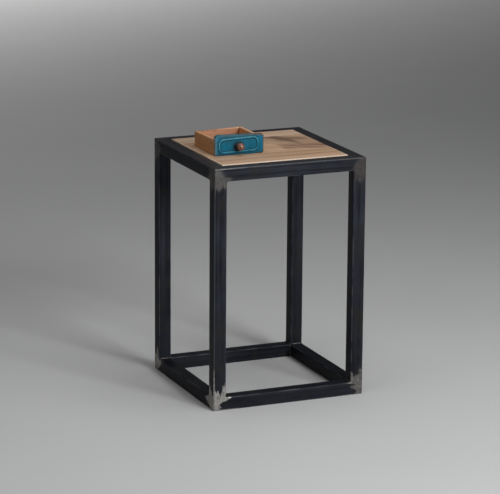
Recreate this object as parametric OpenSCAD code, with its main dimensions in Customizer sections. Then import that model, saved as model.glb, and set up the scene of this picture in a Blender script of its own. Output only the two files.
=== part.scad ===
// Side table: a welded square-tube steel frame, an inset top of three glued boards, and a small loose
// drawer that rests on the top.
// Millimetres. The origin is on the floor under the middle of the frame, +Z is up and -Y is the front.

/* [Frame] */
// Width and depth of the frame, outside
frame_w = 365; // [320:5:420]
// Height of the steel frame
frame_h = 550; // [450:5:700]
// Outside size of the square tube
tube_w = 30; // [25:5:35]
// Wall thickness of the tube
tube_wall = 2; // [1.5:0.5:2.5]
// Outside corner radius of the tube
tube_r = 3; // [3:0.5:4]
// Leg length of a fillet weld
weld_leg = 4; // [3:0.5:5]

/* [Top] */
// Thickness of the boards
board_t = 20; // [18:1:22]
// How far the boards stand above the steel
board_proud = 1.5; // [0.5:0.5:3]
// Gap between the boards and the steel all round
board_gap = 1; // [0.5:0.5:2]
// Chamfer on the outer top edges of the boards
board_chamfer = 2; // [1:0.5:3]
// Width of the front board
front_board_w = 87.5; // [80:0.5:90]
// Width of the back board
back_board_w = 55.5; // [50:0.5:60]
// Leg length of the triangular corner plates under the boards
plate_leg = 42; // [36:1:50]
// Thickness of the corner plates
plate_t = 3; // [2:0.5:4]
// Distance of each plate's screw from the two tubes it is welded to
plate_screw_in = 14; // [12:1:16]

/* [Drawer] */
// Width of the drawer front
front_w = 117; // [112:1:125]
// Height of the drawer front at its left end
front_h = 47; // [44:0.5:50]
// How much lower the hand-cut top edge is at the right end
front_drop = 3.5; // [0:0.5:4]
// Thickness of the drawer front
front_t = 11; // [9:0.5:13]
// How far the front reaches past each side of the box
front_lip = 1.5; // [1:0.5:3]
// Depth of the drawer, from the front's face to the outside of the back
drawer_d = 127; // [110:1:135]
// Height of the left side at the front
left_front_h = 36; // [34:0.5:38]
// Height of the left side at the back
left_back_h = 33.5; // [32:0.5:35.5]
// Height of the right side at the front
right_front_h = 37; // [36.5:0.5:38]
// Height of the right side at the back
right_back_h = 36.5; // [34:0.5:36.5]
// Thickness of the sides and the back
box_t = 8; // [6:0.5:9]
// Thickness of the bottom
bottom_t = 3; // [2:0.5:4]
// Height of the bottom above the lower edges
bottom_up = 4; // [3:0.5:6]
// Depth of the grooves and housings
groove_d = 2.5; // [2:0.5:3]
// Distance of the drawer from the left edge of the top
drawer_from_left = 18.5; // [10:0.5:40]
// Distance of the drawer front from the front edge of the top
drawer_from_front = 85.5; // [60:0.5:88]

/* [Bead and knob] */
// Distance of the middle of the bead and the knob from the left end of the front
bead_x = 56; // [55:0.5:60]
// Length of the bead, at its middle line
bead_l = 93; // [88:0.5:95]
// How far the hand-cut bead is turned, in degrees
bead_tilt = 1.5; // [0:0.5:1.5]
// Height of the bead's lower run, at its middle line
bead_low = 7.5; // [7:0.5:9]
// Height of the bead's upper run, at its middle line
bead_high = 37.5; // [34:0.5:38]
// Corner radius of the bead's middle line
bead_r = 11; // [8:0.5:12]
// Width of the bead
bead_w = 5; // [3:0.5:5.5]
// How far the bead stands out of the face
bead_h = 1.5; // [0.8:0.1:2]
// Radius of the knob's ball
knob_r = 8.75; // [8:0.25:10]
// Distance of the ball's middle from the face
knob_out = 12; // [11:0.5:14]
// Height of the knob's axis above the lower edge of the front
knob_up = 20; // [17:0.5:22]

/* [Hidden] */
$fn = 48;

steel = "#23262d";
weld_grey = "#8c8a88";
oiled_wood = "#b58e6c";
box_wood = "#8a5a3a";
teal = "#1f6f86";
knob_wood = "#7d4630";
zinc = "#a9abad";

eps = 0.01;
half = frame_w / 2;
inner = half - tube_w;                      // from the middle to the inner faces of the tubes
opening_half = inner - board_gap;           // from the middle to the edges of the boards
top_z = frame_h + board_proud;
plate_z = top_z - board_t - plate_t;
seam_front_y = -opening_half + front_board_w;
seam_back_y = opening_half - back_board_w;

// Board screw
screw_r = 2;
screw_l = 20;
screw_head_r = 3.75;
screw_head_t = 2.6;
screw_play = 0.05;                          // round a thread in wood
plate_hole_r = 2.5;

// Drawer
side_x = [front_lip, front_w - front_lip - box_t];
inside_w = front_w - 2 * front_lip - 2 * box_t;
side_y = front_t - groove_d;
back_y = drawer_d - box_t;
groove_play = 0.1;
knob_x = bead_x;
knob_collar_r = 5.5;
knob_collar_t = 1.5;
knob_neck_r = 4.5;
knob_screw_r = 1.5;
knob_screw_in = 12;                         // how far the screw runs into the knob
knob_screw_head_r = 3.5;
knob_screw_head_t = 2;
front_hole_r = 1.7;
front_corner = 2.5;                         // chamfer at the corners of the drawer front

// Wire nail
nail_r = 0.7;
nail_head_r = 1.3;
nail_head_t = 0.6;
side_nail_l = 17;
bottom_nail_l = 13;
nail_play = 0.05;

// ---- shared shapes ----

// A square with true arcs at its corners
module rounded_square(side, r) {
    square([side, side - 2 * r], center = true);
    square([side - 2 * r, side], center = true);
    for (x = [-1, 1], y = [-1, 1])
        translate([x, y] * (side / 2 - r)) circle(r);
}

// A rectangle w wide and h high with true arcs at its corners, its lower left corner at the origin
module rounded_rectangle(w, h, r) {
    translate([0, r]) square([w, h - 2 * r]);
    translate([r, 0]) square([w - 2 * r, h]);
    for (x = [r, w - r], y = [r, h - r])
        translate([x, y]) circle(r);
}

module tube_profile() {
    difference() {
        rounded_square(tube_w, tube_r);
        rounded_square(tube_w - 2 * tube_wall, tube_r - tube_wall + 0.5);
    }
}

// A wood screw along +Z: the underside of its head is at 0, and its point is at the length.
// With play it is the hole that the screw leaves in wood.
module wood_screw(length, r, play = 0) {
    point = 2 * r;
    start = play > 0 ? -eps : 0;
    translate([0, 0, start]) cylinder(h = length - point - start, r = r + play);
    translate([0, 0, length - point]) cylinder(h = point + play, r1 = r + play, r2 = 0.3 + play);
}

// A pan head below the origin, with a cross recess in its outside
module cross_head(r, t) {
    difference() {
        union() {
            translate([0, 0, -t / 2]) cylinder(h = t / 2, r = r);
            translate([0, 0, -t]) cylinder(h = t / 2, r1 = r * 0.7, r2 = r);
        }
        for (turn = [0, 90]) rotate(turn)
            translate([-r / 2, -r / 8, -t - eps]) cube([r, r / 4, t / 2]);
    }
}

// A wire nail along +Z with the outside of its head at 0. With play it is the hole for the nail.
module nail(length, play = 0) {
    point = 2 * nail_r;
    start = play > 0 ? -eps : 0;
    translate([0, 0, start]) cylinder(h = nail_head_t + play - start, r = nail_head_r + play);
    cylinder(h = length - point, r = nail_r + play);
    translate([0, 0, length - point]) cylinder(h = point + play, r1 = nail_r + play, r2 = 0.15 + play);
}

// ---- frame ----

module leg(x_sign, y_sign) {
    color(steel)
        translate([x_sign, y_sign, 0] * (half - tube_w / 2) + [0, 0, tube_w])
            linear_extrude(frame_h - 2 * tube_w) tube_profile();
}

// The front rail of the bottom ring. Its ends are mitred, and over each leg's footprint the rounded
// upper outer edge is filled with weld metal and ground flush.
module ring_rail() {
    intersection() {
        union() {
            translate([-half, -half + tube_w / 2, tube_w / 2])
                rotate([90, 0, 90]) linear_extrude(frame_w) tube_profile();
            for (x = [-half, half - tube_w + tube_r])
                translate([x, -half, tube_w - tube_r]) cube([tube_w - tube_r, tube_r, tube_r]);
        }
        linear_extrude(tube_w) polygon([
            [-half, -half], [half, -half], [inner, -inner], [-inner, -inner]
        ]);
        linear_extrude(tube_w) rounded_square(frame_w, tube_r);
    }
}

module bottom_rail(turn) {
    color(steel) rotate(turn) ring_rail();
}

module top_rail(turn) {
    color(steel) translate([0, 0, frame_h]) mirror([0, 0, 1]) rotate(turn) ring_rail();
}

// A fillet weld along +X, centred, in the corner between the XY and XZ planes
module weld(length) {
    translate([-length / 2, 0, 0]) rotate([90, 0, 90]) linear_extrude(length) polygon([
        [0, 0], [weld_leg, 0], [weld_leg * 0.62, weld_leg * 0.62], [0, weld_leg]
    ]);
}

// The welds between the two inner faces of each leg and the ring under them
module leg_welds() {
    for (turn = [0 : 90 : 270]) rotate(turn) {
        translate([-half + tube_w / 2, -inner, tube_w]) weld(tube_w - 2 * tube_r);
        translate([-inner, -half + tube_w / 2, tube_w]) mirror([1, -1, 0]) weld(tube_w - 2 * tube_r);
    }
}

// The welds in the four inside corners of the bottom ring
module ring_corner_welds() {
    for (turn = [0 : 90 : 270]) rotate(turn)
        translate([-inner, -inner, tube_w / 2]) rotate([0, -90, 0]) mirror([0, 0, 1])
            weld(tube_w - 2 * tube_r);
}

module bottom_welds() {
    color(weld_grey) {
        leg_welds();
        ring_corner_welds();
    }
}

module top_welds() {
    color(weld_grey) translate([0, 0, frame_h]) mirror([0, 0, 1]) leg_welds();
}

// ---- top ----

// A triangular plate in the corner of the top ring, drilled for one screw
module corner_plate(x_sign, y_sign) {
    color(steel) translate([x_sign * inner, y_sign * inner, plate_z])
        mirror([(1 + x_sign) / 2, 0, 0]) mirror([0, (1 + y_sign) / 2, 0])
            difference() {
                linear_extrude(plate_t) polygon([
                    [0, 0], [plate_leg, 0], [plate_leg, 5], [5, plate_leg], [0, plate_leg]
                ]);
                translate([plate_screw_in, plate_screw_in, -eps])
                    cylinder(h = plate_t + 2 * eps, r = plate_hole_r);
            }
}

module at_plate_screws() {
    for (x = [-1, 1], y = [-1, 1])
        translate([x * (inner - plate_screw_in), y * (inner - plate_screw_in), plate_z]) children();
}

// A section through a board: square below, chamfered at the top on the sides that are asked for
module board_section(low, high, chamfer_low, chamfer_high) {
    polygon([
        [low, 0], [high, 0], [high, board_t - chamfer_high], [high - chamfer_high, board_t],
        [low + chamfer_low, board_t], [low, board_t - chamfer_low]
    ]);
}

module top_board(front_y, back_y, front_chamfer, back_chamfer) {
    color(oiled_wood) difference() {
        translate([0, 0, top_z - board_t]) intersection() {
            translate([0, opening_half, 0]) rotate([90, 0, 0]) linear_extrude(2 * opening_half)
                board_section(-opening_half, opening_half, board_chamfer, board_chamfer);
            translate([-opening_half, 0, 0]) rotate([90, 0, 90]) linear_extrude(2 * opening_half)
                board_section(front_y, back_y, front_chamfer, back_chamfer);
        }
        at_plate_screws() translate([0, 0, plate_t]) wood_screw(screw_l - plate_t, screw_r, screw_play);
    }
}

module board_screws() {
    color(zinc) at_plate_screws() {
        cross_head(screw_head_r, screw_head_t);
        wood_screw(screw_l, screw_r);
    }
}

// ---- drawer, drawn from the lower left corner of its front's face ----

module on_top() {
    translate([-opening_half + drawer_from_left, -opening_half + drawer_from_front, top_z]) children();
}

// Stands a shape drawn in X and Y upright, with its front at y = 0 and its thickness towards +Y
module upright(thickness) {
    translate([0, thickness, 0]) rotate([90, 0, 0]) linear_extrude(thickness) children();
}

module front_outline() {
    c = front_corner;
    right_h = front_h - front_drop;
    polygon([
        [c, 0], [front_w - c, 0], [front_w, c], [front_w, right_h - c], [front_w - c, right_h],
        [c, front_h], [0, front_h - c], [0, c]
    ]);
}

module bead_outline() {
    w = bead_l;
    h = bead_high - bead_low;
    translate([bead_x, (bead_low + bead_high) / 2]) rotate(bead_tilt) translate([-w, -h] / 2) difference() {
        translate([-1, -1] * bead_w / 2) rounded_rectangle(w + bead_w, h + bead_w, bead_r + bead_w / 2);
        translate([1, 1] * bead_w / 2) rounded_rectangle(w - bead_w, h - bead_w, bead_r - bead_w / 2);
    }
}

// The board with a raised bead on its face, and behind it housings for the sides, a groove for the bottom
// and a hole for the knob's screw
module drawer_front() {
    color(teal) on_top() difference() {
        union() {
            upright(front_t) front_outline();
            translate([0, -bead_h, 0]) upright(bead_h) bead_outline();
        }
        for (i = [0, 1])
            translate([side_x[i], side_y, -eps])
                cube([box_t, groove_d + eps, [left_front_h, right_front_h][i] + eps]);
        translate([front_lip + box_t - eps, side_y, bottom_up])
            cube([inside_w + 2 * eps, groove_d + eps, bottom_t + groove_play]);
        translate([knob_x, -eps, knob_up]) rotate([-90, 0, 0])
            cylinder(h = front_t + 2 * eps, r = front_hole_r);
    }
}

// A side board, grooved on its inner face, whose top edge falls a little from the front to the back.
// inward is 1 for the left side and -1 for the right one.
module drawer_side(x, inward, front_h, back_h) {
    groove_x = inward > 0 ? box_t - groove_d : -eps;
    color(box_wood) on_top() difference() {
        translate([x, 0, 0]) rotate([90, 0, 90]) linear_extrude(box_t) polygon([
            [side_y, 0], [drawer_d, 0], [drawer_d, back_h], [front_t, front_h], [side_y, front_h]
        ]);
        translate([x + groove_x, side_y - eps, bottom_up])
            cube([groove_d + eps, drawer_d - side_y + 2 * eps, bottom_t + groove_play]);
        side_nail_places() nail(side_nail_l, nail_play);
    }
}

// The back stands on the bottom, between the sides, and its top edge joins theirs
module drawer_back() {
    low = bottom_up + bottom_t;
    color(box_wood) on_top() difference() {
        translate([front_lip + box_t, drawer_d, 0]) rotate([90, 0, 0]) linear_extrude(box_t) polygon([
            [0, low], [inside_w, low], [inside_w, right_back_h], [0, left_back_h]
        ]);
        side_nail_places() nail(side_nail_l, nail_play);
        bottom_nail_places() nail(bottom_nail_l, nail_play);
    }
}

module drawer_bottom() {
    color(box_wood) on_top() difference() {
        translate([front_lip + box_t - groove_d, side_y, bottom_up])
            cube([inside_w + 2 * groove_d, drawer_d - side_y, bottom_t]);
        bottom_nail_places() nail(bottom_nail_l, nail_play);
    }
}

// Two nails through each side into the ends of the back
module side_nail_places() {
    for (z = [13, 29]) {
        translate([front_lip, back_y + box_t / 2, z]) rotate([0, 90, 0]) children();
        translate([front_w - front_lip, back_y + box_t / 2, z]) rotate([0, -90, 0]) children();
    }
}

// Three nails up through the bottom into the back's lower edge
module bottom_nail_places() {
    for (i = [-1 : 1])
        translate([front_w / 2 + i * inside_w * 0.3, back_y + box_t / 2, bottom_up]) children();
}

module side_nails() {
    color(zinc) on_top() side_nail_places() nail(side_nail_l);
}

module bottom_nails() {
    color(zinc) on_top() bottom_nail_places() nail(bottom_nail_l);
}

// Places a shape drawn along +Z on the knob's axis, with z = 0 at the front's face and +Z towards the user
module at_knob() {
    on_top() translate([knob_x, 0, knob_up]) rotate([90, 0, 0]) children();
}

module drawer_knob() {
    color(knob_wood) at_knob() difference() {
        union() {
            cylinder(h = knob_collar_t, r = knob_collar_r);
            cylinder(h = knob_out, r = knob_neck_r);
            translate([0, 0, knob_out]) sphere(knob_r);
        }
        wood_screw(knob_screw_in, knob_screw_r, screw_play);
    }
}

module knob_screw() {
    color(zinc) at_knob() translate([0, 0, -front_t]) {
        cross_head(knob_screw_head_r, knob_screw_head_t);
        wood_screw(front_t + knob_screw_in, knob_screw_r);
    }
}

leg(-1, -1);  // leg_front_left
leg(1, -1);  // leg_front_right
leg(-1, 1);  // leg_back_left
leg(1, 1);  // leg_back_right
bottom_rail(0);  // bottom_rail_front
bottom_rail(90);  // bottom_rail_right
bottom_rail(180);  // bottom_rail_back
bottom_rail(270);  // bottom_rail_left
top_rail(0);  // top_rail_front
top_rail(90);  // top_rail_right
top_rail(180);  // top_rail_back
top_rail(270);  // top_rail_left
bottom_welds();
top_welds();
corner_plate(-1, -1);  // plate_front_left
corner_plate(1, -1);  // plate_front_right
corner_plate(-1, 1);  // plate_back_left
corner_plate(1, 1);  // plate_back_right
top_board(-opening_half, seam_front_y, board_chamfer, 0);  // top_board_front
top_board(seam_front_y, seam_back_y, 0, 0);  // top_board_middle
top_board(seam_back_y, opening_half, 0, board_chamfer);  // top_board_back
board_screws();
drawer_front();
drawer_side(side_x[0], 1, left_front_h, left_back_h);  // drawer_side_left
drawer_side(side_x[1], -1, right_front_h, right_back_h);  // drawer_side_right
drawer_back();
drawer_bottom();
side_nails();
bottom_nails();
drawer_knob();
knob_screw();
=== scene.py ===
import math
import random

import bmesh
import bpy
from mathutils import Matrix, Vector


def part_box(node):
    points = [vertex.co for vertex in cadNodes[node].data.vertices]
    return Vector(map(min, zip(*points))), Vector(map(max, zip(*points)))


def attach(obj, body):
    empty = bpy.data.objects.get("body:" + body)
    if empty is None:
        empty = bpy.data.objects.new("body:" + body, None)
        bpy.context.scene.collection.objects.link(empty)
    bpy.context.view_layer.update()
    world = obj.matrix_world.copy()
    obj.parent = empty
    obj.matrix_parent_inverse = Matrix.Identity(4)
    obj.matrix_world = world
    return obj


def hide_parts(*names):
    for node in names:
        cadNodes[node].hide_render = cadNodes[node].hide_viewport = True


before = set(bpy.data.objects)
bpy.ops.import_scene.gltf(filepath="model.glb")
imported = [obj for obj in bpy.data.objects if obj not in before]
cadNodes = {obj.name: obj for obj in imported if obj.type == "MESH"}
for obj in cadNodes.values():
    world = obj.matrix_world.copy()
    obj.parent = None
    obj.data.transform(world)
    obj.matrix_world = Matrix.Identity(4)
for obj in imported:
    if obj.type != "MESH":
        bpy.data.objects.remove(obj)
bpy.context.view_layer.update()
mm = 0.001

# the sizes that everything below is worked out from
legLow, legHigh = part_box("leg_front_left")
boardLow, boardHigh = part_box("top_board_front")
half = -legLow.x  # from the middle to the outside of the frame
tubeWidth = legHigh.x - legLow.x
inner = half - tubeWidth  # from the middle to the inner faces of the tubes
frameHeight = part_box("top_rail_front")[1].z
topZ = boardHigh.z
print("frame loaded:", len(cadNodes), "nodes")


class Wire:
    # an output socket that can be used in a sum: each operator adds a Math node
    def __init__(self, tree, socket):
        self.tree, self.socket = tree, socket

    def out(self, name):
        return Wire(self.tree, self.socket.node.outputs[name])

    def __add__(self, other):
        return self.tree.math("ADD", self, other)

    def __sub__(self, other):
        return self.tree.math("SUBTRACT", self, other)

    def __rsub__(self, other):
        return self.tree.math("SUBTRACT", other, self)

    def __mul__(self, other):
        return self.tree.math("MULTIPLY", self, other)

    def __truediv__(self, other):
        return self.tree.math("DIVIDE", self, other)

    def __abs__(self):
        return self.tree.math("ABSOLUTE", self)

    __radd__ = __add__
    __rmul__ = __mul__


class Tree:
    # a shader or geometry node tree that is filled with node() and sums of wires
    def __init__(self, group):
        self.group = group

    def node(self, kind, settings=None, inputs=None, out=0):
        made = self.group.nodes.new(kind)
        for name, value in (settings or {}).items():
            setattr(made, name, value)
        for key, value in (inputs or {}).items():
            if isinstance(value, Wire):
                self.group.links.new(value.socket, made.inputs[key])
            else:
                made.inputs[key].default_value = value
        return Wire(self, made.outputs[out]) if len(made.outputs) else made

    def math(self, operation, *values):
        return self.node("ShaderNodeMath", {"operation": operation}, dict(enumerate(values)))

    def vectorMath(self, operation, *vectors):
        return self.node("ShaderNodeVectorMath", {"operation": operation}, dict(enumerate(vectors)))

    def split(self, vector):
        parts = self.node("ShaderNodeSeparateXYZ", inputs={0: vector})
        return parts, parts.out("Y"), parts.out("Z")

    def join(self, x, y, z):
        return self.node("ShaderNodeCombineXYZ", inputs={0: x, 1: y, 2: z})

    def position(self):
        return self.node("GeometryNodeInputPosition")

    def moved(self, geometry, place):
        return self.node("GeometryNodeSetPosition", inputs={"Geometry": geometry, "Position": place})


def least(wire, *others):
    rest = least(*others) if len(others) > 1 else others[0]
    return wire.tree.math("MINIMUM", wire, rest)


def most(wire, *others):
    rest = most(*others) if len(others) > 1 else others[0]
    return wire.tree.math("MAXIMUM", wire, rest)


def root(wire):
    return wire.tree.math("SQRT", wire)


def fade(wire, low, high):
    # 0 at low or less, 1 at high or more, and smooth between
    return wire.tree.node("ShaderNodeMapRange", {"interpolation_type": "SMOOTHSTEP"},
        {0: wire, 1: low, 2: high, 3: 0, 4: 1})


def fall(wire, low, high):
    # the other way: 1 at low or less, 0 at high or more
    return 1 - fade(wire, low, high)


def noise(place, scale=1, shift=(0, 0, 0), detail=3, roughness=0.55):
    # a scale for each axis stretches the noise
    tree = place.tree
    if isinstance(scale, tuple):
        place = tree.vectorMath("ADD", tree.vectorMath("MULTIPLY", place, scale), shift)
        scale = 1
    return tree.node("ShaderNodeTexNoise", inputs={
        "Vector": place, "Scale": scale, "Detail": detail, "Roughness": roughness})


def ramp(wire, stops):
    colours = wire.tree.node("ShaderNodeValToRGB", inputs={0: wire})
    elements = colours.socket.node.color_ramp.elements
    for i, (place, colour) in enumerate(stops):
        stop = elements[i] if i < len(elements) else elements.new(place)
        stop.position = place
        stop.color = (*colour, 1)
    return colours


def blend(factor, *colours):
    a, b = (c if isinstance(c, Wire) else (*c, 1) for c in colours)
    return factor.tree.node("ShaderNodeMix", {"data_type": "RGBA"}, {0: factor, 6: a, 7: b}, out=2)


def bump(height, distance, strength):
    return height.tree.node("ShaderNodeBump", inputs={
        "Strength": strength, "Distance": distance, "Height": height})


def newMaterial(name):
    material = bpy.data.materials.new(name)
    material.use_nodes = True
    material.node_tree.nodes.clear()
    tree = Tree(material.node_tree)
    return material, tree, tree.node("ShaderNodeTexCoord").out("Object")


def finishMaterial(tree, **sockets):
    named = {key.replace("_", " "): value for key, value in sockets.items()}
    shader = tree.node("ShaderNodeBsdfPrincipled", inputs=named)
    tree.node("ShaderNodeOutputMaterial", inputs={"Surface": shader})


steelLook = {
    "black": (0.0042, 0.0047, 0.0075),
    "smoke": (0.0258, 0.0284, 0.0386),
    "brown": (0.0150, 0.0138, 0.0130),  # warmer clouds in the blacking
    "dusty": (0.036, 0.034, 0.034),  # the upward faces of the top: dust and painted top light
    "rubbedAndHighlight": (0.085, 0.095, 0.110),  # along the arrises, where the blacking is rubbed thin, and a painted highlight on the near arrises
    "bare": (0.40, 0.385, 0.365),
    "bareDark": (0.20, 0.188, 0.172),
    "bareDull": (0.046, 0.041, 0.039),  # the top corners are ground less bright
    "bareStain": (0.11, 0.10, 0.092),
    "legReach": 46 * mm,  # how high the grinding reaches up a leg, on average
    "frontReach": 38 * mm,  # how far it reaches along a front or back rail, beside the joint
    "sideReach": 36 * mm,  # how far it reaches along a side rail
    "rag": 80 * mm,  # how much the brush strokes differ in reach
    "arrisReach": 40 * mm,  # how much farther the arrises are rubbed bare
}


def makeSteel(name, grainFrom):
    look = steelLook
    material, tree, place = newMaterial(name)
    x, y, z = tree.split(place)
    # how far in from the frame's outer faces: sideways, front to back, and from the nearer end
    inX, inY, inZ = half - abs(x), half - abs(y), least(z, frameHeight - z)
    if grainFrom == "attribute":
        grain = tree.node("ShaderNodeAttribute", {"attribute_name": "grain"}).out("Vector")
    else:
        grain = place
    across1, across2, along = tree.split(grain)
    upper = fade(z, 0.25, 0.3)
    rightward = fade(x, 0, 0.1)

    # the ground corners: strokes of a disc along each tube, ending in ragged fingers. Along a rail the
    # patch is longest beside the leg's joint and short at the rail's outer edge.
    upStrokes = noise(place, (85, 85, 13), roughness=0.5)
    flatStrokes = noise(place, (15, 15, 80), (5, 2, 1), roughness=0.5)
    patchy = noise(place, scale=26, detail=2)
    clouded = noise(place, scale=60)
    sideFace = fade(inY - inX, -0.5 * mm, 0.5 * mm)
    reach = look["frontReach"] + sideFace * (look["sideReach"] - look["frontReach"])
    lowest = 0.50 + sideFace * 0.35
    reach = reach * (lowest + fade(inZ, 3 * mm, 27 * mm) * (1.05 - lowest))
    rag = look["rag"] * (1 - upper * 0.45)
    high, low = most(inX, inY), least(inX, inY)
    middle = most(low, least(high, inZ))
    nearest = least(low, inZ)
    arris = fall(middle, 1.6 * mm, 3.0 * mm) * patchy * 2
    legTop = look["legReach"] + rightward * 8 * mm
    legTop = legTop + (upStrokes - 0.5) * rag * 1.2 + arris * look["arrisReach"]
    railEnd = reach + (flatStrokes - 0.5) * rag + arris * look["arrisReach"] * 1.4
    skin = fall(nearest, 1.2 * mm, 2.4 * mm)
    soft = 1 + upper * 1.6
    onLeg = fade((legTop - inZ) / soft, -2 * mm, 4 * mm)
    ground = onLeg * fade((railEnd - high) / soft, -2 * mm, 4 * mm)
    ground = ground * skin * (1 - upper * fade(clouded, 0.42, 0.68) * 0.35)
    lid = fall(frameHeight - z, 0.2 * mm, 1.5 * mm)  # the top faces are hardly ground
    ground = ground * (1 - lid * 0.75)

    # the blackened skin: streaks from the rolling, cloudy blacking, paler towards the arrises
    streaks = noise(grain, (420, 420, 5), detail=5, roughness=0.65)
    clouds = noise(grain, (34, 34, 10), (3, 1, 4), detail=4)
    fromMiddle = least(abs(across1), abs(across2))
    edgeBand = fade(fromMiddle, 7 * mm, 13 * mm) if grainFrom == "attribute" else 0.2
    edgeLine = fade(fromMiddle, 12.4 * mm, 13.8 * mm) if grainFrom == "attribute" else 0
    bands = noise(grain, (130, 130, 2.5), (8, 2, 6))
    smoky = fade(clouds, 0.36, 0.70) * 0.34 + fade(bands, 0.40, 0.62) * 0.42
    smoky = smoky + fade(streaks, 0.45, 0.8) * 0.25 + edgeBand * clouds * 0.25
    smoky = smoky * (0.55 + fade(z, 0, 0.5) * 0.45)  # darker towards the floor
    skinColour = blend(least(smoky, 1), look["black"], look["smoke"])
    skinColour = blend(fade(patchy, 0.48, 0.66) * 0.6, skinColour, look["brown"])
    # dust and painted light: the upward faces of the top rails are paler
    skinColour = blend(lid * (0.25 + patchy * 0.6), skinColour, look["dusty"])
    scuffs = noise(grain, (900, 900, 60), (7, 7, 7), detail=2)
    scuffed = fade(scuffs, 0.68, 0.78) * fade(clouds, 0.48, 0.66)
    # the front arrises by the near corner get the brightest rubbed colour: rubbed blacking with a painted
    # highlight
    fromFront, fromLeft = y + half, x + half
    topArris = fall(frameHeight - z, 1.2 * mm, 3.4 * mm) * fall(fromFront, 1.2 * mm, 3.4 * mm)
    topArris = topArris * (1 - fade(fromLeft, 70 * mm, 82 * mm) * 0.55)
    legArris = fall(fromLeft, 1.0 * mm, 3.2 * mm) * fall(fromFront, 1.0 * mm, 3.2 * mm)
    # scuffs and rubbed arrises, with painted highlights along the arrises
    rubsAndHighlights = scuffed * 0.4 + fade(patchy, 0.36, 0.66) * edgeLine * 0.6
    rubsAndHighlights = least(most(rubsAndHighlights, topArris * 0.95, legArris * 0.55), 1)
    skinColour = blend(rubsAndHighlights, skinColour, look["rubbedAndHighlight"])

    scratches = noise(place, (500, 500, 90), (1, 8, 3), detail=5, roughness=0.7)
    blotches = noise(place, scale=95, detail=4)
    bareColour = blend(fade(scratches, 0.3, 0.7), look["bareDark"], look["bare"])
    bareColour = blend(fade(blotches, 0.50, 0.68) * 0.6, bareColour, look["bareStain"])
    dull = most(upper * (0.66 + rightward * 0.16 + blotches * 0.35), rightward * (0.45 + blotches * 0.4))
    bareColour = blend(dull, bareColour, look["bareDull"])

    roughSkin = 0.40 + clouds * 0.14 + streaks * 0.06
    roughBare = 0.36 + scratches * 0.22
    roughness = roughSkin + (roughBare - roughSkin) * ground
    height = streaks * 0.25 + clouds * 0.35 + scratches * ground * 0.5 + ground * -0.35
    finishMaterial(tree,
        Base_Color=blend(ground, skinColour, bareColour),
        Metallic=ground * 0.65 + rubsAndHighlights * 0.3,
        Roughness=roughness,
        Normal=bump(height, 0.12 * mm, 0.6),
        Specular_IOR_Level=0.10)
    return material


weldLook = {
    "leg": 4.0 * mm,  # how far the bead reaches along each wall
    "length": 26 * mm,
    "ripples": 11.0,
    "rippleDepth": 0.20,  # as a share of the bead's radius
    "rippleLag": 0.11,  # how far the crescents lag behind on the crown
    "fullness": 0.78,  # the bead's radius as a share of its leg
    "rings": 64,
    "lumps": 0.55 * mm,
    "soot": [(0.30, (0.012, 0.013, 0.018)), (0.46, (0.028, 0.028, 0.033)),
        (0.60, (0.060, 0.052, 0.046)), (0.75, (0.050, 0.056, 0.075))],
    "glint": (0.30, 0.30, 0.31),
}
zincLook = {"bright": (0.50, 0.50, 0.48), "dark": (0.28, 0.28, 0.27), "rust": 0.15}
nailLook = {
    "headRadius": 1.3 * mm, "lengths": {"side_nails": 17 * mm, "bottom_nails": 13 * mm},
    "bright": (0.20, 0.17, 0.15), "dark": (0.09, 0.075, 0.065), "rust": 0.6,
}
rustBrown = (0.11, 0.045, 0.02)


def makeWeldMetal():
    material, tree, place = newMaterial("weldMetal")
    soot = noise(place, scale=90, detail=4)
    grains = noise(place, scale=900)
    tint = ramp(soot, weldLook["soot"])
    finishMaterial(tree,
        Base_Color=blend(fade(grains, 0.55, 0.7) * 0.25, tint, weldLook["glint"]),
        Metallic=0.7,
        Roughness=0.24 + soot * 0.22,
        Normal=bump(grains * 0.4 + soot, 0.15 * mm, 0.5))
    return material


def makeSmallMetal(name, look):
    # zinc plate on screws, or the dull skin of an old nail
    material, tree, place = newMaterial(name)
    spangle = noise(place, scale=700)
    stain = noise(place, scale=260)
    colour = blend(fade(spangle, 0.35, 0.65), look["dark"], look["bright"])
    rusty = fade(stain, 0.5, 0.62) * look["rust"]
    finishMaterial(tree,
        Base_Color=blend(rusty, colour, rustBrown),
        Metallic=0.95 - rusty * 0.7,
        Roughness=0.32 + spangle * 0.2,
        Normal=bump(spangle + stain, 0.05 * mm, 0.4))
    return material


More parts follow.
